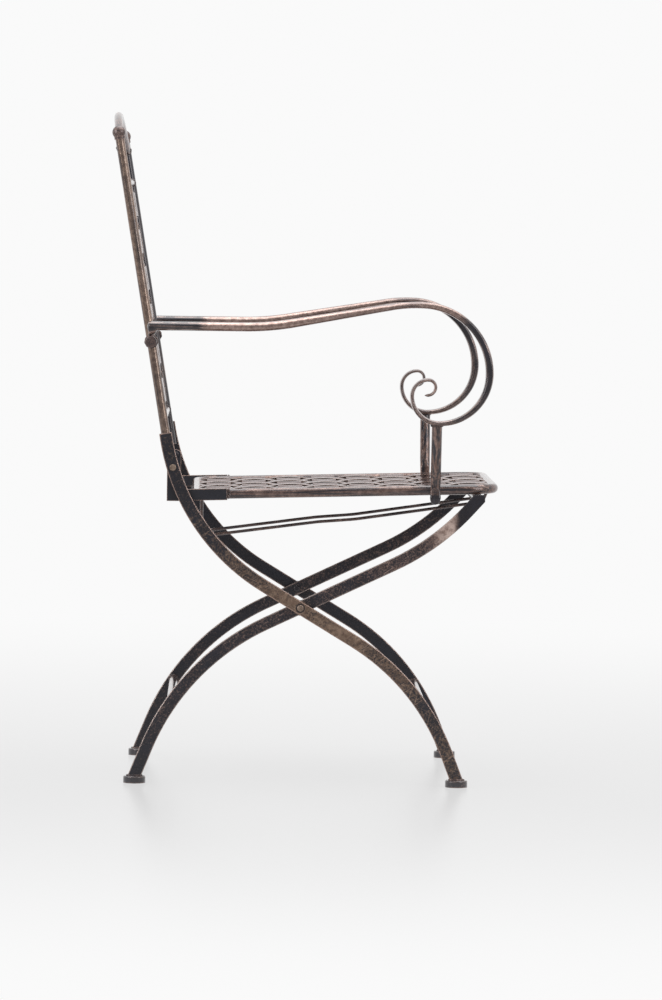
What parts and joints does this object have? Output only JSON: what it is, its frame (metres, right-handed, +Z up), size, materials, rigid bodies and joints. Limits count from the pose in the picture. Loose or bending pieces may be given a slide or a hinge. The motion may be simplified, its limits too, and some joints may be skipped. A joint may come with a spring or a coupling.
{
  "type": "folding garden armchair",
  "caption": "Folding wrought-iron garden armchair with crossed flat-bar legs, woven strip seat and back, and scrolled arms that lift off pegs.",
  "frame": {"origin": "centre of the chair's bounding box in plan, on the floor", "axes": "+X to the chair's front, +Y to the sitter's left, +Z up"},
  "size_m": [0.5604, 0.482, 0.9617],
  "materials": {
    "round_bar": "near-black bronze paint on round bar, rubbed brown",
    "flat_bar": "near-black bronze paint on flat bar, rubbed brown at the edges",
    "arm_iron": "near-black bronze paint, rubbed brown where hands rest",
    "woven_strip": "bronze paint on woven strip, worn lighter on the crests",
    "rivet_iron": "bronze paint, worn on the heads",
    "foot_pad": "satin brown-black with bronze brushing"
  },
  "bodies": {
    "back_frame": {"arm_pegs": "round_bar", "back_lower_rail": "round_bar", "back_strip_cross_1": "woven_strip", "back_strip_cross_2": "woven_strip", "back_strip_cross_3": "woven_strip", "back_strip_cross_4": "woven_strip", "back_strip_cross_5": "woven_strip", "back_strip_cross_6": "woven_strip", "back_strip_upright_1": "woven_strip", "back_strip_upright_2": "woven_strip", "back_strip_upright_3": "woven_strip", "back_strip_upright_4": "woven_strip", "back_strip_upright_5": "woven_strip", "back_strip_upright_6": "woven_strip", "back_upper_rail": "round_bar", "finial_left": "round_bar", "finial_right": "round_bar", "front_foot_left": "foot_pad", "front_foot_right": "foot_pad", "front_leg_left": "flat_bar", "front_leg_right": "flat_bar", "front_stretcher": "round_bar", "leg_pivot_rivets": "rivet_iron", "leg_pivot_spacers": "rivet_iron", "seat_pivot_rivets": "rivet_iron", "top_arch": "round_bar", "upright_left": "round_bar", "upright_right": "round_bar"},
    "rear_leg_frame": {"rear_foot_left": "foot_pad", "rear_foot_right": "foot_pad", "rear_leg_left": "flat_bar", "rear_leg_right": "flat_bar", "rear_stretcher": "round_bar"},
    "seat": {"arm_rivets": "rivet_iron", "guide_rod_left": "round_bar", "guide_rod_right": "round_bar", "seat_bracket_left": "flat_bar", "seat_bracket_right": "flat_bar", "seat_rim": "round_bar", "seat_strip_cross_1": "woven_strip", "seat_strip_cross_2": "woven_strip", "seat_strip_cross_3": "woven_strip", "seat_strip_cross_4": "woven_strip", "seat_strip_cross_5": "woven_strip", "seat_strip_cross_6": "woven_strip", "seat_strip_cross_7": "woven_strip", "seat_strip_cross_8": "woven_strip", "seat_strip_long_1": "woven_strip", "seat_strip_long_2": "woven_strip", "seat_strip_long_3": "woven_strip", "seat_strip_long_4": "woven_strip", "seat_strip_long_5": "woven_strip", "seat_strip_long_6": "woven_strip", "seat_strip_long_7": "woven_strip"},
    "slide_bar": {"slide_bar": "round_bar"},
    "arm_left": {"arm_rail_left": "arm_iron", "arm_post_left": "round_bar"},
    "arm_right": {"arm_rail_right": "arm_iron", "arm_post_right": "round_bar"}
  },
  "joints": [
    {"name": "seat_fold", "type": "hinge", "parent": "back_frame", "child": "seat", "pos_m": [-0.18698, 0, 0.453], "axis": [0, -1, 0], "range_deg": [0, 94]},
    {"name": "leg_fold", "type": "hinge", "parent": "back_frame", "child": "rear_leg_frame", "pos_m": [-0.0024, 0, 0.254], "axis": [0, -1, 0], "range_deg": [0, 78.4]},
    {"name": "bar_slide", "type": "slide", "parent": "seat", "child": "slide_bar", "axis": [-0.9924, 0, -0.1232], "range_m": [0, 0.36568]},
    {"name": "arm_left_lift", "type": "hinge", "parent": "seat", "child": "arm_left", "pos_m": [0.1885, 0, 0.42433], "axis": [0, 1, 0], "range_deg": [0, 75]},
    {"name": "arm_right_lift", "type": "hinge", "parent": "seat", "child": "arm_right", "pos_m": [0.1885, 0, 0.42433], "axis": [0, 1, 0], "range_deg": [0, 75]}
  ],
  "couplings": [
    {"joint": "leg_fold", "follows": "seat_fold", "ratio": 0.83404},
    {"joint": "bar_slide", "follows": "seat_fold", "m_per_rad": 0.22289}
  ]
}
